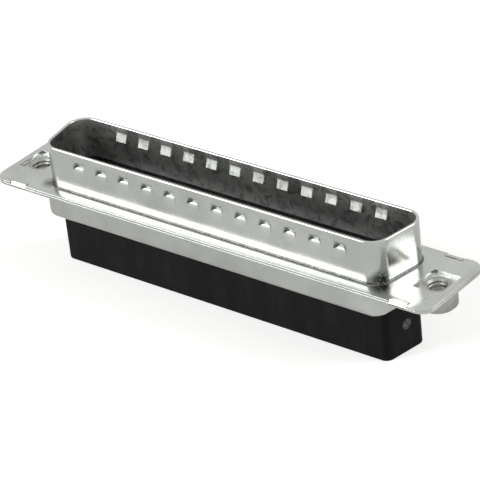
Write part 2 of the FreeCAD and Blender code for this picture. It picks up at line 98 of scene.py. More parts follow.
# Bright tin plate over steel sheet, drawn and pressed: a soft mirror with a faint grain along the sheet,
# hazy patches from handling and fine scuffs, which scatter light where the mirror shows something dark.
# Painted shade darkens a line in the shroud's foot and two of its corners; dried drawing lubricant smears
# its inside.
# The real grain and scuffs are finer, and these are as coarse as they need to be to show.
tinPlate = {
    # the dark colour serves both the lubricant smears inside and the painted shade in the foot and corners
    "light": "#BABCB8", "dull": "#ACAEAB", "oilAndPaintedShade": "#383A38",
    "hazeMm": 6.0, "grainMm": 0.12, "scuffMm": 0.3, "smearMm": 1.5,
    "grainAlong": 0.12,  # scale along the sheet, which draws the grain out
    "roughLow": 0.16, "roughHigh": 0.25,
    "scuffRough": 0.22,  # added in the scuffs
    "insideRough": 0.2,  # added inside the shroud, where the punch has dragged
    "footPaintedShade": (0.04, 0.228, 0.38),  # height of the painted shade line in the foot: full from, full to, gone at
    "footLeast": 0.8,  # the thinnest patches of that line
    "shadedCorner": (26.4, -3.8, 0.5),  # the two corners of the short side, where painted shade sits at the foot
    "shadedCornerSize": (0.51, 1.7),  # full within, gone beyond
    "smear": 0.6,  # the strongest smears
    "bump": 0.06, "bumpMm": 0.01,
}


def buildTinPlate(settings):
    material, tree = newMaterial("Tin-plated steel sheet, drawn")
    where = addNode(tree, "ShaderNodeTexCoord").outputs["Object"]
    place = addNode(tree, "ShaderNodeSeparateXYZ", links={"Vector": where})
    inner = addNode(tree, "ShaderNodeAttribute", attribute_name="inner")  # 1 on the shroud's inside
    along = addNode(
        tree, "ShaderNodeMapping", {"Scale": (settings["grainAlong"], 1, 1)}, {"Vector": where})
    haze = addNode(
        tree, "ShaderNodeTexNoise",
        {"Scale": perMm(settings["hazeMm"]), "Detail": 3.0, "Roughness": 0.55}, {"Vector": where})
    grain = addNode(
        tree, "ShaderNodeTexNoise",
        {"Scale": perMm(settings["grainMm"]), "Detail": 2.0}, {"Vector": along.outputs["Vector"]})
    scuffs = addNode(
        tree, "ShaderNodeTexNoise",
        {"Scale": perMm(settings["scuffMm"]), "Detail": 4.0, "Roughness": 0.65}, {"Vector": where})
    blotches = addNode(
        tree, "ShaderNodeTexNoise",
        {"Scale": perMm(settings["smearMm"]), "Detail": 5.0, "Roughness": 0.7, "Distortion": 0.8},
        {"Vector": where})

    # a line of painted shade in the crease of the foot
    fullFrom, fullTo, goneAt = [height * mm for height in settings["footPaintedShade"]]
    rise = addNode(tree, "ShaderNodeMapRange", {"From Max": fullFrom}, {"Value": place.outputs["Z"]})
    fall = addNode(
        tree, "ShaderNodeMapRange", {"From Min": goneAt, "From Max": fullTo}, {"Value": place.outputs["Z"]})
    foot = addNode(
        tree, "ShaderNodeMath", links={0: rise.outputs["Result"], 1: fall.outputs["Result"]},
        operation="MULTIPLY")
    patchy = addNode(
        tree, "ShaderNodeMapRange",
        {"From Min": 0.35, "From Max": 0.65, "To Min": settings["footLeast"]},
        {"Value": scuffs.outputs["Fac"]})
    footPaintedShade = addNode(
        tree, "ShaderNodeMath", links={0: foot.outputs["Value"], 1: patchy.outputs["Result"]},
        operation="MULTIPLY")

    # flecks of painted shade at the foot of the two corners of the short side, which mirror each other in X
    full, gone = [size * mm for size in settings["shadedCornerSize"]]
    eitherSide = addNode(tree, "ShaderNodeMath", links={0: place.outputs["X"]}, operation="ABSOLUTE")
    oneSide = addNode(
        tree, "ShaderNodeCombineXYZ",
        links={"X": eitherSide.outputs["Value"], "Y": place.outputs["Y"], "Z": place.outputs["Z"]})
    reach = addNode(
        tree, "ShaderNodeVectorMath", {1: Vector(settings["shadedCorner"]) * mm}, {0: oneSide.outputs["Vector"]},
        operation="DISTANCE")
    near = addNode(
        tree, "ShaderNodeMapRange", {"From Min": gone, "From Max": full}, {"Value": reach.outputs["Value"]})
    flecks = addNode(
        tree, "ShaderNodeMapRange", {"From Min": 0.36, "From Max": 0.48}, {"Value": scuffs.outputs["Fac"]})
    cornerPaintedShade = addNode(
        tree, "ShaderNodeMath", links={0: near.outputs["Result"], 1: flecks.outputs["Result"]},
        operation="MULTIPLY")

    # smears of dried lubricant on the inside
    smears = addNode(
        tree, "ShaderNodeMapRange", {"From Min": 0.47, "From Max": 0.62, "To Max": settings["smear"]},
        {"Value": blotches.outputs["Fac"]})
    innerOil = addNode(
        tree, "ShaderNodeMath", links={0: inner.outputs["Fac"], 1: smears.outputs["Result"]},
        operation="MULTIPLY")
    # painted shade: the foot line and the corner flecks together
    outerPaintedShade = addNode(
        tree, "ShaderNodeMath", links={0: footPaintedShade.outputs["Value"], 1: cornerPaintedShade.outputs["Value"]},
        operation="MAXIMUM")
    # the painted shade of the foot and corners, and the lubricant smears inside, in one mask
    oilAndPaintedShade = addNode(
        tree, "ShaderNodeMath", links={0: outerPaintedShade.outputs["Value"], 1: innerOil.outputs["Value"]},
        operation="MAXIMUM")
    plate = addNode(
        tree, "ShaderNodeValToRGB", links={"Fac": haze.outputs["Fac"]},
        stops=[(0.35, settings["dull"]), (0.65, settings["light"])])
    color = addNode(
        tree, "ShaderNodeMix", {"B": linearColor(settings["oilAndPaintedShade"])},
        {"Factor": oilAndPaintedShade.outputs["Value"], "A": plate.outputs["Color"]}, data_type="RGBA")

    smooth = addNode(
        tree, "ShaderNodeMapRange",
        {"From Min": 0.3, "From Max": 0.7, "To Min": settings["roughLow"], "To Max": settings["roughHigh"]},
        {"Value": haze.outputs["Fac"]})
    scuffed = addNode(
        tree, "ShaderNodeMapRange", {"From Min": 0.6, "From Max": 0.75, "To Max": settings["scuffRough"]},
        {"Value": scuffs.outputs["Fac"]})
    dragged = addNode(
        tree, "ShaderNodeMath", {1: settings["insideRough"]},
        {0: inner.outputs["Fac"], 2: smooth.outputs["Result"]}, operation="MULTIPLY_ADD")
    rough = addNode(
        tree, "ShaderNodeMath", links={0: dragged.outputs["Value"], 1: scuffed.outputs["Result"]},
        operation="ADD")
    bump = addNode(
        tree, "ShaderNodeBump", {"Strength": settings["bump"], "Distance": settings["bumpMm"] * mm},
        {"Height": grain.outputs["Fac"]})
    shader = addNode(
        tree, "ShaderNodeBsdfPrincipled", {"Metallic": 1.0},
        {"Base Color": color.outputs["Result"], "Roughness": rough.outputs["Value"],
         "Normal": bump.outputs["Normal"]})
    addNode(tree, "ShaderNodeOutputMaterial", links={"Surface": shader.outputs["BSDF"]})
    return material


# Glass-filled black polyester, injection moulded: very dark, with a fine spark-eroded grain and grey dust
# in upright streaks. The block is matt, and the front insulator came out of a polished tool; its body and
# dust are painted lighter than the block's, as painted light inside the shroud. The grain is drawn a little
# coarser than the real one.
blackMoulding = {"body": "#0B0C0D", "dust": "#1C1D1E", "rough": 0.55, "specular": 0.1, "bump": 0.15}
# the front insulator's body and dust: the same black, painted lighter as painted light inside the shroud
glossyMouldingPaintedLighter = {"body": "#28292B", "dust": "#3A3B3C", "rough": 0.22, "specular": 0.9, "bump": 0.05}
mouldingGrain = {
    "grainMm": 0.08, "dustMm": 2.2,
    "dustUpright": 0.3,  # scale upwards, which draws the dust out
    "roughSpread": (-0.06, 0.08), "bumpMm": 0.01,
}

# The round mark that an ejector pin leaves on the block's right end: a low disc, chalky and uneven.
ejectorMark = {
    "at": (26.636, 0.12, -7.6), "radius": 0.72, "height": 0.04, "depth": 0.4, "edge": 0.03, "around": 32,
    "color": "#747675", "mottleMm": 0.35,
    "least": 0.25,  # the thinnest patches of its colour
    "fade": (0.9, 1.08),  # of its radius: full within, gone beyond
}


def buildBlackMoulding(settings, name):
    material, tree = newMaterial(name)
    where = addNode(tree, "ShaderNodeTexCoord").outputs["Object"]
    upright = addNode(
        tree, "ShaderNodeMapping", {"Scale": (1, 1, mouldingGrain["dustUpright"])}, {"Vector": where})
    cloud = addNode(
        tree, "ShaderNodeTexNoise",
        {"Scale": perMm(mouldingGrain["dustMm"]), "Detail": 4.0, "Roughness": 0.6},
        {"Vector": upright.outputs["Vector"]})
    grain = addNode(
        tree, "ShaderNodeTexNoise", {"Scale": perMm(mouldingGrain["grainMm"]), "Detail": 2.0},
        {"Vector": where})
    dusty = addNode(
        tree, "ShaderNodeValToRGB", links={"Fac": cloud.outputs["Fac"]},
        stops=[(0.45, settings["body"]), (0.75, settings["dust"])])

    full, gone = [share * ejectorMark["radius"] * mm for share in ejectorMark["fade"]]
    away = addNode(
        tree, "ShaderNodeVectorMath", {1: Vector(ejectorMark["at"]) * mm}, {0: where}, operation="DISTANCE")
    inside = addNode(
        tree, "ShaderNodeMapRange", {"From Min": gone, "From Max": full}, {"Value": away.outputs["Value"]})
    mottle = addNode(
        tree, "ShaderNodeTexNoise", {"Scale": perMm(ejectorMark["mottleMm"]), "Detail": 3.0},
        {"Vector": where})
    chalky = addNode(
        tree, "ShaderNodeMapRange", {"From Min": 0.42, "From Max": 0.6, "To Min": ejectorMark["least"]},
        {"Value": mottle.outputs["Fac"]})
    mark = addNode(
        tree, "ShaderNodeMath", links={0: inside.outputs["Result"], 1: chalky.outputs["Result"]},
        operation="MULTIPLY")
    color = addNode(
        tree, "ShaderNodeMix", {"B": linearColor(ejectorMark["color"])},
        {"Factor": mark.outputs["Value"], "A": dusty.outputs["Color"]}, data_type="RGBA")

    below, above = mouldingGrain["roughSpread"]
    rough = addNode(
        tree, "ShaderNodeMapRange",
        {"From Min": 0.3, "From Max": 0.7,
         "To Min": settings["rough"] + below, "To Max": settings["rough"] + above},
        {"Value": cloud.outputs["Fac"]})
    bump = addNode(
        tree, "ShaderNodeBump", {"Strength": settings["bump"], "Distance": mouldingGrain["bumpMm"] * mm},
        {"Height": grain.outputs["Fac"]})
    shader = addNode(
        tree, "ShaderNodeBsdfPrincipled", {"Specular IOR Level": settings["specular"]},
        {"Base Color": color.outputs["Result"], "Roughness": rough.outputs["Result"],
         "Normal": bump.outputs["Normal"]})
    addNode(tree, "ShaderNodeOutputMaterial", links={"Surface": shader.outputs["BSDF"]})
    return material


# Nickel-plated brass, turned: a satin metal, slightly clouded, with fine rings round the axis of each
# insert. The real rings are closer, and these are as coarse as they need to be to show.
nickelPlate = {
    "light": "#A9AAA4", "dull": "#93948D",
    "cloudMm": 1.2, "ringMm": 0.377,
    "ringWander": 0.5,
    "rough": 0.46, "roughSpread": 0.08,
    "bump": 0.2, "bumpMm": 0.01,
}


def buildNickelPlate(settings, axisX, name):
    material, tree = newMaterial(name)
    where = addNode(tree, "ShaderNodeTexCoord").outputs["Object"]
    centred = addNode(tree, "ShaderNodeMapping", {"Location": (-axisX * mm, 0, 0)}, {"Vector": where})
    cloud = addNode(
        tree, "ShaderNodeTexNoise", {"Scale": perMm(settings["cloudMm"]), "Detail": 4.0}, {"Vector": where})
    waveTurn = math.tau / 20  # a wave texture of scale 1 repeats after this length
    rings = addNode(
        tree, "ShaderNodeTexWave",
        {"Scale": waveTurn * perMm(settings["ringMm"]), "Distortion": settings["ringWander"]},
        {"Vector": centred.outputs["Vector"]}, wave_type="BANDS", bands_direction="Z")
    color = addNode(
        tree, "ShaderNodeValToRGB", links={"Fac": cloud.outputs["Fac"]},
        stops=[(0.35, settings["dull"]), (0.65, settings["light"])])
    rough = addNode(
        tree, "ShaderNodeMapRange",
        {"From Min": 0.3, "From Max": 0.7,
         "To Min": settings["rough"] - settings["roughSpread"],
         "To Max": settings["rough"] + settings["roughSpread"]},
        {"Value": cloud.outputs["Fac"]})
    bump = addNode(
        tree, "ShaderNodeBump", {"Strength": settings["bump"], "Distance": settings["bumpMm"] * mm},
        {"Height": rings.outputs["Fac"]})
    shader = addNode(
        tree, "ShaderNodeBsdfPrincipled", {"Metallic": 1.0},
        {"Base Color": color.outputs["Color"], "Roughness": rough.outputs["Result"],
         "Normal": bump.outputs["Normal"]})
    addNode(tree, "ShaderNodeOutputMaterial", links={"Surface": shader.outputs["BSDF"]})
    return material


def cornerArc(corner, before, after, radius, steps):
    # points of the round that joins the sides before and after a corner, both as unit directions
    half = before.angle(after) / 2
    start = corner - before * (radius * math.tan(half))
    centre = start + Vector((-before.y, before.x)) * radius
    points = []
    for k in range(steps + 1):
        arm = start - centre
        arm.rotate(Matrix.Rotation(2 * half / steps * k, 2))
        points.append(centre + arm)
    return points


def roundCorners(corners, radius, steps):
    # one arc for each of four corners, from the near left one round
    sides = [(corners[(k + 1) % 4] - corners[k]).normalized() for k in range(4)]
    return [cornerArc(corners[k], sides[k - 1], sides[k], radius, steps) for k in range(4)]


def dOutline(length, width, radius, grow=0.0, columns=(), steps=12):
    # the D, its long side at +Y, grown outwards evenly; columns are stations on both long walls
    farX = length / 2 + grow * (1 / math.cos(slope) + math.tan(slope))
    high = width / 2 + grow
    nearX = farX - 2 * high * math.tan(slope)
    corners = [Vector((-nearX, -high)), Vector((nearX, -high)), Vector((farX, high)), Vector((-farX, high))]
    arcs = roundCorners(corners, radius + grow, steps)
    shortWall = [Vector((x, -high)) for x in columns]
    longWall = [Vector((x, high)) for x in reversed(columns)]
    return arcs[0] + shortWall + arcs[1] + arcs[2] + longWall + arcs[3]


def boxArcs(centreX, length, width, radius, steps=6):
    # the four rounded corners of a rectangle
    left, right, low, high = centreX - length / 2, centreX + length / 2, -width / 2, width / 2
    corners = [Vector((left, low)), Vector((right, low)), Vector((right, high)), Vector((left, high))]
    return roundCorners(corners, radius, steps)


def circle(x, y, radius, around):
    turns = [math.tau * k / around for k in range(around)]
    return [(x + radius * math.cos(turn), y + radius * math.sin(turn)) for turn in turns]


def quarterTurn(steps):
    return [math.radians(90 * k / steps) for k in range(steps + 1)]


def ringMesh(rows, inner=()):
    # a closed ring: a grid whose rows are rolled round the outline, joined at its seams; inner names the
    # rows of an inside wall, for the material
    mesh = bmesh.new()
    mark = mesh.verts.layers.float.new("inner")
    count = len(rows[0])
    bmesh.ops.create_grid(mesh, x_segments=count, y_segments=len(rows), size=1)
    mesh.verts.ensure_lookup_table()
    for index, vert in enumerate(mesh.verts):
        row, column = divmod(index, count + 1)
        vert.co = Vector(rows[row % len(rows)][column % count]) * mm
        vert[mark] = 1.0 if row in inner else 0.0
    bmesh.ops.remove_doubles(mesh, verts=mesh.verts, dist=mergeGap * mm)
    bmesh.ops.recalc_face_normals(mesh, faces=mesh.faces)
    return mesh


def extrudeFaces(mesh, faces, vec):
    pushed = bmesh.ops.extrude_face_region(mesh, geom=faces)
    moved = [item for item in pushed["geom"] if isinstance(item, bmesh.types.BMVert)]
    bmesh.ops.translate(mesh, verts=moved, vec=vec)
    bmesh.ops.recalc_face_normals(mesh, faces=mesh.faces)


def sharpEdges(mesh):
    return [item for item in mesh.edges if item.is_manifold and item.calc_face_angle() > sharpAngle]


def roundEdges(mesh, edges, size, segments=2, strength="NONE"):
    bmesh.ops.bevel(
        mesh, geom=edges, offset=size * mm, offset_type="OFFSET", segments=segments, profile=0.5,
        affect="EDGES", clamp_overlap=True, material=-1, face_strength_mode=strength)


def platePiece(loops, top, thickness, edge, outerEdge=None, segments=2, roll=None):
    # a flat plate: its first loop is the outline and the others are holes, with rounded or broken edges
    mesh = bmesh.new()
    edges = []
    for loop in loops:
        verts = [mesh.verts.new((point[0] * mm, point[1] * mm, top * mm)) for point in loop]
        edges += [mesh.edges.new((verts[k - 1], verts[k])) for k in range(len(verts))]
    filled = bmesh.ops.triangle_fill(
        mesh, use_beauty=True, use_dissolve=False, edges=edges, normal=(0, 0, 1))
    faces = [item for item in filled["geom"] if isinstance(item, bmesh.types.BMFace)]
    extrudeFaces(mesh, faces, (0, 0, -thickness * mm))
    outline = {(round(point[0], spotDigits), round(point[1], spotDigits)) for point in loops[0]}

    def onOutline(vert):
        return (round(vert.co.x / mm, spotDigits), round(vert.co.y / mm, spotDigits)) in outline

    def onTop(vert):
        return abs(vert.co.z - top * mm) < sameSpot * mm

    if roll:  # the punch draws the outline's upper edge down a little
        reach, drop = roll
        upper = [item for item in mesh.faces if all(onTop(vert) for vert in item.verts)]
        bmesh.ops.inset_region(
            mesh, faces=upper, thickness=reach * mm, use_boundary=True, use_even_offset=True)
        for vert in mesh.verts:
            if onTop(vert) and onOutline(vert):
                vert.co.z -= drop * mm
    for size, outerOnly in ((outerEdge or edge, True), (edge, False)):
        rims = [
            item for item in sharpEdges(mesh)
            if abs(item.verts[0].co.z - item.verts[1].co.z) < sameSpot * mm
            and (not outerOnly or all(onOutline(vert) for vert in item.verts))]
        roundEdges(mesh, rims, size, segments, "ALL")
    return mesh


def addMesh(target, part):
    data = bpy.data.meshes.new("part")
    part.to_mesh(data)
    part.free()
    target.from_mesh(data)
    bpy.data.meshes.remove(data)
    return target


def finishPiece(mesh, name, node, material):
    # a new piece takes the place of its node and rides with the whole part
    data = bpy.data.meshes.new(name)
    mesh.to_mesh(data)
    mesh.free()
    piece = bpy.data.objects.new(name, data)
    bpy.context.scene.collection.objects.link(piece)
    data.materials.append(material)
    data.set_sharp_from_angle(angle=creaseAngle)
    weighted = piece.modifiers.new("flatFaces", "WEIGHTED_NORMAL")
    weighted.keep_sharp = True
    weighted.use_face_influence = True
    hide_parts(node)
    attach(piece, "root")


# Grounding dimples: pressed in from outside down to a crisp ledge, and standing out inside as a lip.
dimple = {
    "count": 12, "pitch": 3.784, "offset": 0.33,  # the row's middle is this far to the right
    "width": 1.98, "side": 0.16,  # side is how far its steep sides run
    "ledge": 3.63, "arch": 0.34, "archReach": 1.2,  # the ledge's ends, its rise in the middle, its reach
    "rise": 1.2, "pressed": 0.42, "bow": 1.15,  # the slanted face above the ledge: height, depth, hollow
    "lip": 3.8, "stand": 0.42,  # the bump inside
    "fall": 1.5, "drawn": 0.25, "drawnCurve": 2.6,  # the dish drawn into the wall below the ledge
    "drawnInside": 0.1, "insideCurve": 1.6, "dishCurve": 3,
    "lowest": 1.5,  # the wall is plain below this height
    "stations": (0, 0.2, 0.4, 0.6, 0.74, 0.83, 0.89, 0.94, 0.99, 1.05),  # columns of the mesh, each way
    "below": (-1.4, -1.1, -0.85, -0.65, -0.48, -0.34, -0.22, -0.12, -0.05, -0.001),  # rows of the mesh
    "above": (0.0, 0.04, 0.1, 0.2, 0.32, 0.45, 0.58, 0.71, 0.84, 0.97, 1.08, 1.16, 1.22),
}
firstDimple = dimple["offset"] - (dimple["count"] - 1) * dimple["pitch"] / 2


def offDimple(x):
    # how far this station is from the middle of the nearest dimple
    number = min(max(round((x - firstDimple) / dimple["pitch"]), 0), dimple["count"] - 1)
    return abs(x - firstDimple - number * dimple["pitch"])


def smoothFall(value):
    held = min(max(value, 0.0), 1.0)
    return held * held * (3 - 2 * held)


def dimplePush(x, z, inside):
    # how far the wall is pushed in at this spot, on its inner or its outer face
    off, half = offDimple(x), dimple["width"] / 2
    ledge = dimple["lip"] if inside else dimple["ledge"]
    if z >= ledge:
        depth = dimple["stand"] if inside else dimple["pressed"]
        run = min((z - ledge) / dimple["rise"], 1.0)
        return depth * (1 - run) ** dimple["bow"] * smoothFall((half - off) / dimple["side"])
    depth = dimple["drawnInside"] if inside else dimple["drawn"]
    curve = dimple["insideCurve"] if inside else dimple["drawnCurve"]
    run = min((ledge - z) / dimple["fall"], 1.0)
    return depth * (1 - run) ** curve * max(0.0, 1 - (off / half) ** dimple["dishCurve"])


def dimpleArch(x, z):
    # the outer ledge bows upwards in the middle, and the rows near it with it
    across = max(0.0, 1 - (2 * offDimple(x) / dimple["width"]) ** 2)
    return dimple["arch"] * across * smoothFall(1 - abs(z - dimple["ledge"]) / dimple["archReach"])


# Front shell: a flat flange and the drawn D-shaped shroud.
frontShell = {
    "length": 55.42, "width": 8.36, "corner": 2.2,  # inside the shroud
    "height": 5.9, "sheet": 0.4,
    "root": 0.3, "rim": 0.19, "roundSteps": 4,  # rounds of the foot and of the rim
    "innerFoot": [(0.5, -0.36), (0.3, -0.4), (0.12, -0.34), (0.03, -0.22), (0.0, 0.0)],  # outwards, up
    "plainRows": (0.5, 0.9, 1.3, 1.7, 2.0),  # rows of the mesh between the foot and the dimples
    "tuck": 0.03,  # the foot's outer end is hidden in the flange
    "flangeLength": 69.32, "flangeWidth": 12.55, "flangeCorner": 1.9,
    "flangeEdge": 0.045, "holeEdge": 0.04, "edgeSteps": 3,
    "roll": (0.5, 0.07),  # the outline's rolled edge: how far in, how far down
    "holeGrow": 0.35,  # the flange's hole, hidden in the foot
    "windowAt": 31.75, "windowLength": 3.9, "windowWidth": 4.5, "windowCorner": 0.12, "windowSteps": 4,
    "notchAt": 30.35, "notchLength": 2.6, "notchDepth": 0.8,  # room for the tabs
}


def shroudRow(grow, z, columns):
    # one row of the shroud's wall, with the dimples in both long walls
    s = frontShell
    high = s["width"] / 2 + grow
    inside = grow < s["sheet"] / 2
    wallRow = dimple["lowest"] < z < s["height"] - s["rim"]
    row = []
    for point in dOutline(s["length"], s["width"], s["corner"], grow, columns):
        y, lift = point.y, 0.0
        if wallRow and abs(abs(y) - high) < sameSpot:
            y -= math.copysign(dimplePush(point.x, z, inside), y)
            lift = 0.0 if inside else dimpleArch(point.x, z)
        row.append((point.x, y, z + lift))
    return row


def frontFlange():
    s = frontShell
    edgeY, notchY = s["flangeWidth"] / 2, s["flangeWidth"] / 2 - s["notchDepth"]
    notchLow, notchHigh = s["notchAt"] - s["notchLength"] / 2, s["notchAt"] + s["notchLength"] / 2
    notches = []
    for start, end in ((-notchHigh, -notchLow), (notchLow, notchHigh)):
        notches += [(start, -edgeY), (start, -notchY), (end, -notchY), (end, -edgeY)]
    arcs = boxArcs(0, s["flangeLength"], s["flangeWidth"], s["flangeCorner"])
    turned = [(-x, -y) for x, y in notches]
    outline = arcs[0] + notches + arcs[1] + arcs[2] + turned + arcs[3]
    hole = dOutline(s["length"], s["width"], s["corner"], s["holeGrow"])
    windows = [
        sum(boxArcs(
            sign * s["windowAt"], s["windowLength"], s["windowWidth"], s["windowCorner"],
            s["windowSteps"]), [])
        for sign in (-1, 1)]
    return platePiece(
        [outline, hole, *windows], 0.0, s["sheet"], s["holeEdge"], s["flangeEdge"], s["edgeSteps"],
        s["roll"])


def buildFrontShell():
    s = frontShell
    rim, root, sheet, height = s["rim"], s["root"], s["sheet"], s["height"]
    stations = sorted({sign * spot for spot in dimple["stations"] for sign in (-1, 1)})
    middles = [firstDimple + k * dimple["pitch"] for k in range(dimple["count"])]
    columns = [middle + spot for middle in middles for spot in stations]
    levels = dimple["below"] + dimple["above"]
    turns = quarterTurn(s["roundSteps"])

    # the section, up inside and down outside: how far outside the inner wall, and how high
    section = [*s["innerFoot"]]
    section += [(0.0, z) for z in s["plainRows"]]
    section += [(0.0, dimple["lip"] + z) for z in levels]
    section += [(rim - rim * math.cos(a), height - rim + rim * math.sin(a)) for a in turns]
    section += [(sheet - rim + rim * math.sin(a), height - rim + rim * math.cos(a)) for a in turns]
    section += [(sheet, dimple["ledge"] + z) for z in reversed(levels)]
    section += [(sheet, z) for z in reversed(s["plainRows"])]
    section += [(sheet + root - root * math.cos(a), root - root * math.sin(a)) for a in turns]
    section += [(sheet + root + s["tuck"], -s["tuck"])]

    inner = {k for k, (grow, z) in enumerate(section) if grow == 0.0}
    shroud = ringMesh([shroudRow(grow, z, columns) for grow, z in section], inner)
    return addMesh(shroud, frontFlange())


# Rear shell: the second flange with its shallow cup, and four tabs folded over the front flange.
rearShell = {
    "length": 57.3, "width": 10.8, "corner": 2.0,  # outside the cup
    "top": -0.4, "sheet": 0.35, "floor": -4.2,
    "root": 0.2, "floorRound": 0.8, "roundSteps": 6,  # rounds of the foot and of the floor's edge
    "mouth": [(-0.35, -0.5), (-0.31, -0.2), (-0.2, -0.06), (0.0, -0.02)],  # outwards and up from the top
    "mouthEnd": (0.16, -0.04),  # hidden between the flanges
    "tuck": 0.03,  # the foot's outer end is hidden in the flange
    "openLength": 54.6, "openWidth": 6.84, "openCorner": 1.2,  # the floor's opening
    "holeGrow": 0.08, "holeEdge": 0.02,  # the flange's own holes
    "spigot": 1.8, "spigotAround": 48,
    "tabLength": 2.5, "tabLeg": 0.3, "tabFlap": 0.25, "tabReach": 0.75, "tabEdge": 0.03,
    "tabBend": (0.28, 0.38), "tabEase": (0.08, 0.02),  # the slanted fold, pressed flat: in, down
    "tabInner": (0.05, 0.1),
}


def buildTab(signX, signY):
    # a leg on the flange's edge and a flap folded in over the front flange
    s = rearShell
    low = s["top"] - s["sheet"] / 2
    (bendIn, bendDown), (easeIn, easeDown), (innerIn, innerDown) = s["tabBend"], s["tabEase"], s["tabInner"]
    corners = [  # how far in from the flange's edge, and how high
        (0.0, low), (0.0, -bendDown), (bendIn, -easeDown), (bendIn + easeIn, 0.0),
        (s["tabReach"], 0.0), (s["tabReach"], -s["tabFlap"]), (s["tabLeg"] + innerIn, -s["tabFlap"]),
        (s["tabLeg"], -s["tabFlap"] - innerDown), (s["tabLeg"], low)]
    edge = frontShell["flangeWidth"] / 2
    start = signX * frontShell["notchAt"] - s["tabLength"] / 2
    mesh = bmesh.new()
    verts = [mesh.verts.new((start * mm, signY * (edge - reach) * mm, z * mm)) for reach, z in corners]
    extrudeFaces(mesh, [mesh.faces.new(verts)], (s["tabLength"] * mm, 0, 0))
    roundEdges(mesh, sharpEdges(mesh), s["tabEdge"])
    return mesh


def buildRearShell():
    s, front = rearShell, frontShell
    top, sheet, floor, bend, root = s["top"], s["sheet"], s["floor"], s["floorRound"], s["root"]
    under, bendInside = top - sheet, bend - sheet
    turns = quarterTurn(s["roundSteps"])

    # the section, down outside and up inside: how far outside the cup's wall, and how high
    outside = [(s["mouthEnd"][0], top + s["mouthEnd"][1]), (root + s["tuck"], under + s["tuck"])]
    outside += [(root - root * math.sin(a), under - root + root * math.cos(a)) for a in turns]
    outside += [(-bend + bend * math.cos(a), floor + bend - bend * math.sin(a)) for a in turns]
    inside = [(-bend + bendInside * math.sin(a), floor + bend - bendInside * math.cos(a)) for a in turns]
    inside += [(grow, top + z) for grow, z in s["mouth"]]

    def wallRow(grow, z):
        return [(p.x, p.y, z) for p in dOutline(s["length"], s["width"], s["corner"], grow)]

    opening = dOutline(s["openLength"], s["openWidth"], s["openCorner"])
    rows = [wallRow(grow, z) for grow, z in outside]
    rows += [[(p.x, p.y, z) for p in opening] for z in (floor, floor + sheet)]
    rows += [wallRow(grow, z) for grow, z in inside]
    shell = ringMesh(rows)

    outline = sum(boxArcs(0, front["flangeLength"], front["flangeWidth"], front["flangeCorner"]), [])
    hole = dOutline(s["length"], s["width"], s["corner"], s["holeGrow"])
    spigots = [circle(sign * front["windowAt"], 0, s["spigot"], s["spigotAround"]) for sign in (-1, 1)]
    addMesh(shell, platePiece(
        [outline, hole, *spigots], top, sheet, s["holeEdge"], front["flangeEdge"], front["edgeSteps"]))
    for signX in (-1, 1):
        for signY in (-1, 1):
            addMesh(shell, buildTab(signX, signY))
    return shell


# The two mouldings and the cavities that run through them.
mouldings = {
    "pitch": 2.77, "rows": 2.84, "long": 19, "around": 24,
    "frontBore": 1.7, "rearBore": 2.2, "lead": 0.14,
    "frontTop": 0.0, "split": -2.0, "play": 0.1,
    "blockLength": 54.4, "blockWidth": 6.64, "blockCorner": 1.1, "blockEnd": -11.48,
    "plateTop": -0.4, "plateEnd": -3.85, "plateEdge": 0.05,
    "plateOverlap": 0.3,  # how far a plate runs into its moulding's body
    "cupRound": 0.4,  # the rear plate's room for the round of the cup's floor
    "plateGap": 0.01,
}


def cavityLoops(bore):
    s = mouldings
    loops = []
    for count, y in ((s["long"], s["rows"] / 2), (s["long"] - 1, -s["rows"] / 2)):
        places = [(k - (count - 1) / 2) * s["pitch"] for k in range(count)]
        loops += [circle(x, y, bore / 2, s["around"]) for x in places]
    return loops


def cupPlate(top, end, room, hole):
    # the plate of a moulding, which fills the cup up to its wall
    s, rear = mouldings, rearShell
    edge = dOutline(rear["length"], rear["width"], rear["corner"], -rear["sheet"] - s["play"] - room)
    return platePiece([edge, hole], top, top - end, s["plateEdge"])


def buildFrontInsulator():
    s, front = mouldings, frontShell
    boss = dOutline(front["length"], front["width"], front["corner"], -s["play"])
    hole = dOutline(front["length"], front["width"], front["corner"], -s["play"] - s["plateOverlap"])
    body = platePiece(
        [boss, *cavityLoops(s["frontBore"])], s["frontTop"], s["frontTop"] - s["split"], s["lead"])
    return addMesh(body, cupPlate(s["plateTop"], s["split"], 0, hole))


def buildEjectorMark():
    s = ejectorMark
    disc = bmesh.new()
    bmesh.ops.create_cone(
        disc, cap_ends=True, segments=s["around"], radius1=s["radius"] * mm, radius2=s["radius"] * mm,
        depth=s["depth"] * mm)
    roundEdges(disc, [item for item in disc.edges if all(v.co.z > 0 for v in item.verts)], s["edge"])
    lean = Vector((math.cos(slope), -math.sin(slope), 0))  # the end wall faces this way
    seat = Vector(s["at"]) + lean * (s["height"] - s["depth"] / 2)
    place = Matrix.Translation(seat * mm) @ lean.to_track_quat("Z", "Y").to_matrix().to_4x4()
    bmesh.ops.transform(disc, matrix=place, verts=disc.verts)
    return disc


def buildRearInsulator():
    s = mouldings
    block = dOutline(s["blockLength"], s["blockWidth"], s["blockCorner"])
    hole = dOutline(s["blockLength"], s["blockWidth"], s["blockCorner"], -s["plateOverlap"])
    body = platePiece(
        [block, *cavityLoops(s["rearBore"])], s["split"], s["split"] - s["blockEnd"], s["lead"])
    addMesh(body, buildEjectorMark())
    top, end = s["split"] - s["plateGap"], s["plateEnd"] + s["plateGap"]
    return addMesh(body, cupPlate(top, end, s["cupRound"], hole))


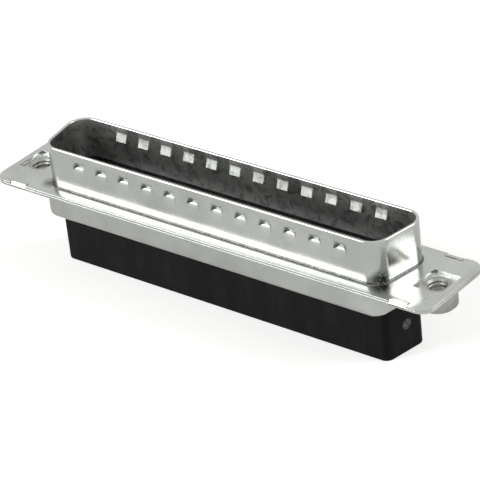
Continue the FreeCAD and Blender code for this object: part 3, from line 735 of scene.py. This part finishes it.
# A threaded insert: spigot flush in the rear flange, plain barrel behind it, a fine V thread through both.
insert = {
    "at": 31.75, "spigot": 1.8, "barrel": 2.45, "top": -0.4, "seat": -0.75, "end": -3.3,
    "chamfer": 0.35, "spigotBreak": 0.03, "shoulderBreak": 0.04,
    "chamferStart": ((0.0, 0.03), (-0.03, -0.02)), "chamferEnd": ((0.02, 0.03), (-0.04, 0.0)),  # its rounds
    "mouth": 1.38, "bore": 1.125, "threadDepth": 0.15, "threadPitch": 0.635,
    "around": 80, "along": 96,  # steps of the mesh
}


def buildInsert(sign):
    s = insert
    top, end, spigot, barrel = s["top"], s["end"], s["spigot"], s["barrel"]
    around, along = s["around"], s["along"]
    outer = [
        (s["mouth"], top), (spigot - s["spigotBreak"], top), (spigot, top - s["spigotBreak"]),
        (spigot, s["seat"]), (barrel - s["shoulderBreak"], s["seat"]),
        (barrel, s["seat"] - s["shoulderBreak"])]
    outer += [(barrel + r, end + s["chamfer"] + z) for r, z in s["chamferStart"]]
    outer += [(barrel - s["chamfer"] + r, end + z) for r, z in s["chamferEnd"]]
    outer += [(s["mouth"], end)]
    rings = [[(radius, z)] * around for radius, z in outer]
    for k in range(1, along):
        z = end + (top - end) * k / along
        countersink = s["mouth"] - min(z - end, top - z)
        phases = [math.tau * (z / s["threadPitch"] + turn / around) for turn in range(around)]
        thread = [s["bore"] + s["threadDepth"] * (1 + math.cos(phase)) / 2 for phase in phases]
        rings.append([(max(radius, countersink), z) for radius in thread])
    angles = [math.tau * turn / around for turn in range(around)]
    return ringMesh([
        [(sign * s["at"] + radius * math.cos(angle), radius * math.sin(angle), z)
         for angle, (radius, z) in zip(angles, ring)]
        for ring in rings])


print("materials")
tin = buildTinPlate(tinPlate)
blockBlack = buildBlackMoulding(blackMoulding, "Glass-filled polyester, moulded black, matt")
# the front insulator's moulding is painted lighter, as painted light inside the shroud
plateBlackPaintedLighter = buildBlackMoulding(glossyMouldingPaintedLighter, "Glass-filled polyester, moulded black, polished")

print("shells")
finishPiece(buildFrontShell(), "frontShell", "front_shell", tin)
finishPiece(buildRearShell(), "rearShell", "rear_shell", tin)

print("mouldings")
finishPiece(buildFrontInsulator(), "frontInsulator", "front_insulator", plateBlackPaintedLighter)
finishPiece(buildRearInsulator(), "rearInsulator", "rear_insulator", blockBlack)

print("inserts")
for side, sign in (("left", -1), ("right", 1)):
    plate = buildNickelPlate(nickelPlate, sign * insert["at"], "Nickel-plated brass, turned, " + side)
    finishPiece(buildInsert(sign), side + "Insert", "threaded_insert_" + side, plate)

# Plain pale floor and backdrop of white paper, lifted to white for the camera and in reflections: less near
# the object, which keeps its shadow, and not at all in the dark under its block. The world is white to the
# camera and in reflections, and lights the object softly.
studio = {
    "floorSize": 3.0,  # m
    "paper": "#F4F4F2",
    "liftNear": 0.56, "liftFar": 1.0,
    "nearMm": 60.0, "farMm": 350.0,
    "mirroredShare": 0.6,  # of the lift, in reflections
    "underBlock": (25.95, 2.55),  # mm each way
    "white": (1.0, 1.0, 1.0, 1.0),
    "ambient": 0.2,
}


def buildFloor(settings, height):
    mesh = bmesh.new()
    bmesh.ops.create_grid(mesh, x_segments=1, y_segments=1, size=settings["floorSize"] / 2)
    bmesh.ops.translate(mesh, verts=mesh.verts, vec=(0, 0, height))
    data = bpy.data.meshes.new("floor")
    mesh.to_mesh(data)
    mesh.free()
    floor = bpy.data.objects.new("floor", data)
    bpy.context.scene.collection.objects.link(floor)

    material, tree = newMaterial("White paper")
    rays = addNode(tree, "ShaderNodeLightPath")
    mirrored = addNode(
        tree, "ShaderNodeMath", {1: settings["mirroredShare"]}, {0: rays.outputs["Is Glossy Ray"]},
        operation="MULTIPLY")
    seen = addNode(
        tree, "ShaderNodeMath", links={0: rays.outputs["Is Camera Ray"], 1: mirrored.outputs["Value"]},
        operation="MAXIMUM")
    where = addNode(tree, "ShaderNodeTexCoord").outputs["Object"]
    away = addNode(tree, "ShaderNodeVectorMath", links={0: where}, operation="LENGTH")
    pale = addNode(
        tree, "ShaderNodeMapRange",
        {"From Min": settings["nearMm"] * mm, "From Max": settings["farMm"] * mm,
         "To Min": settings["liftNear"], "To Max": settings["liftFar"]},
        {"Value": away.outputs["Value"]}, interpolation_type="SMOOTHSTEP")
    eitherSide = addNode(tree, "ShaderNodeVectorMath", links={0: where}, operation="ABSOLUTE")
    place = addNode(tree, "ShaderNodeSeparateXYZ", links={"Vector": eitherSide.outputs["Vector"]})
    beyondX, beyondY = [
        addNode(tree, "ShaderNodeMath", {1: half * mm}, {0: place.outputs[axis]}, operation="GREATER_THAN")
        for axis, half in zip("XY", settings["underBlock"])]
    clear = addNode(
        tree, "ShaderNodeMath", links={0: beyondX.outputs["Value"], 1: beyondY.outputs["Value"]},
        operation="MAXIMUM")
    shown = addNode(
        tree, "ShaderNodeMath", links={0: seen.outputs["Value"], 1: clear.outputs["Value"]},
        operation="MULTIPLY")
    lift = addNode(
        tree, "ShaderNodeMath", links={0: shown.outputs["Value"], 1: pale.outputs["Result"]},
        operation="MULTIPLY")
    paper = addNode(tree, "ShaderNodeBsdfDiffuse", {"Color": linearColor(settings["paper"])})
    glow = addNode(
        tree, "ShaderNodeEmission", {"Color": settings["white"]}, {"Strength": lift.outputs["Value"]})
    lit = addNode(
        tree, "ShaderNodeAddShader", links={0: paper.outputs["BSDF"], 1: glow.outputs["Emission"]})
    addNode(tree, "ShaderNodeOutputMaterial", links={"Surface": lit.outputs["Shader"]})
    data.materials.append(material)


def buildWorld(settings):
    world = bpy.data.worlds.new("Studio")
    world.use_nodes = True
    bpy.context.scene.world = world
    tree = world.node_tree
    tree.nodes.clear()
    rays = addNode(tree, "ShaderNodeLightPath")
    seen = addNode(
        tree, "ShaderNodeMath", links={0: rays.outputs["Is Camera Ray"], 1: rays.outputs["Is Glossy Ray"]},
        operation="MAXIMUM")
    soft, full = [
        addNode(tree, "ShaderNodeBackground", {"Color": settings["white"], "Strength": strength})
        for strength in (settings["ambient"], 1.0)]
    both = addNode(
        tree, "ShaderNodeMixShader",
        links={0: seen.outputs["Value"], 1: soft.outputs["Background"], 2: full.outputs["Background"]})
    addNode(tree, "ShaderNodeOutputWorld", links={"Surface": both.outputs["Shader"]})


# Lamps: softboxes at the front left and the right rear, which light the dimples and the end wall, and a
# large faint one overhead. Places and sizes are in metres, and each faces the origin.
lamps = [
    {"name": "frontLeft", "at": (-0.34, -0.42, 0.2), "size": (0.34, 0.42), "watts": 2.6},
    {"name": "rightRear", "at": (0.46, 0.25, 0.28), "size": (0.3, 0.3), "watts": 1.5},
    {"name": "overhead", "at": (0.0, 0.1, 0.6), "size": (0.5, 0.5), "watts": 0.1},
]


def buildLamp(settings):
    data = bpy.data.lights.new(settings["name"], "AREA")
    data.shape = "RECTANGLE"
    data.size, data.size_y = settings["size"]
    data.energy = settings["watts"]
    lamp = bpy.data.objects.new(settings["name"], data)
    bpy.context.scene.collection.objects.link(lamp)
    place = Vector(settings["at"])
    lamp.matrix_world = Matrix.Translation(place) @ (-place).to_track_quat("-Z", "Y").to_matrix().to_4x4()


# The photograph's own view, fitted to points measured on it: angles in degrees, the place in metres.
view = {
    "azimuth": 41.455, "elevation": 29.872, "roll": 6.516,
    "at": (0.194740, -0.218760, 0.164850),
    "lens": 200.81, "sensor": 36.0, "clipStart": 0.01,
}


def buildCamera(settings):
    turn, lift, tilt = [math.radians(settings[name]) for name in ("azimuth", "elevation", "roll")]
    back = Vector((math.sin(turn) * math.cos(lift), -math.cos(turn) * math.cos(lift), math.sin(lift)))
    right = (-back).cross(Vector((0, 0, 1))).normalized()
    down = (-back).cross(right)
    tiltedRight = math.cos(tilt) * right + math.sin(tilt) * down
    tiltedUp = math.sin(tilt) * right - math.cos(tilt) * down
    data = bpy.data.cameras.new("camera")
    data.sensor_fit = "HORIZONTAL"
    data.sensor_width = settings["sensor"]
    data.lens = settings["lens"]
    data.clip_start = settings["clipStart"]
    camera = bpy.data.objects.new("camera", data)
    bpy.context.scene.collection.objects.link(camera)
    axes = Matrix((tiltedRight, tiltedUp, back)).transposed().to_4x4()
    camera.matrix_world = Matrix.Translation(settings["at"]) @ axes
    bpy.context.scene.camera = camera


print("studio")
buildFloor(studio, cadBox[0][2])
buildWorld(studio)
for lamp in lamps:
    buildLamp(lamp)
buildCamera(view)
bpy.context.scene.view_settings.view_transform = "Standard"
